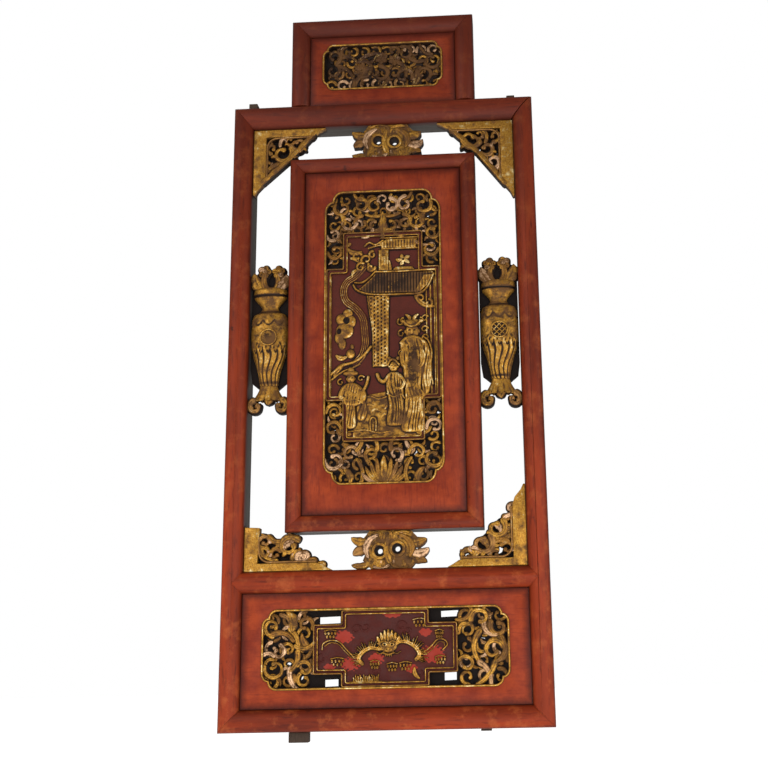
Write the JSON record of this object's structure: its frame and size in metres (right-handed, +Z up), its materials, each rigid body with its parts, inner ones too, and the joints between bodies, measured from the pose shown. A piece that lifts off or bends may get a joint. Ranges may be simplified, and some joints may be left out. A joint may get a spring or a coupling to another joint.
{
  "type": "carved wall panel",
  "caption": "Tall red-lacquered openwork wall panel with a small crest, half-round frames, pierced gilded carving, vases and corner brackets.",
  "frame": {"origin": "middle of the top rail's flat back, where the panel is fixed to the wall", "axes": "+Z up the panel, +Y into the wall, +X to the right seen from the front"},
  "size_m": [0.5, 0.0498, 1.1893],
  "materials": {
    "frame_lacquer": "worn dark red lacquer on wood, satin",
    "board_lacquer": "worn red lacquer on wood, with gilded carving",
    "worn_gilt": "worn gilding on carved wood",
    "dark_wood": "bare dark wood, dull"
  },
  "bodies": {
    "root": {"left_stile": "frame_lacquer", "right_stile": "frame_lacquer", "top_rail": "frame_lacquer", "middle_rail": "frame_lacquer", "bottom_rail": "frame_lacquer", "crest_left_stile": "frame_lacquer", "crest_right_stile": "frame_lacquer", "crest_top_rail": "frame_lacquer", "crest_panel": "board_lacquer", "inner_left_stile": "frame_lacquer", "inner_right_stile": "frame_lacquer", "inner_top_rail": "frame_lacquer", "inner_bottom_rail": "frame_lacquer", "centre_panel": "board_lacquer", "lower_panel": "board_lacquer", "bracket_top_left": "worn_gilt", "bracket_top_right": "worn_gilt", "bracket_bottom_left": "worn_gilt", "bracket_bottom_right": "worn_gilt", "vase_left": "worn_gilt", "vase_right": "worn_gilt", "bat_top": "worn_gilt", "bat_bottom": "worn_gilt", "peg_left": "dark_wood", "peg_right": "dark_wood", "tenon_left": "dark_wood", "tenon_right": "dark_wood"}
  },
  "joints": []
}
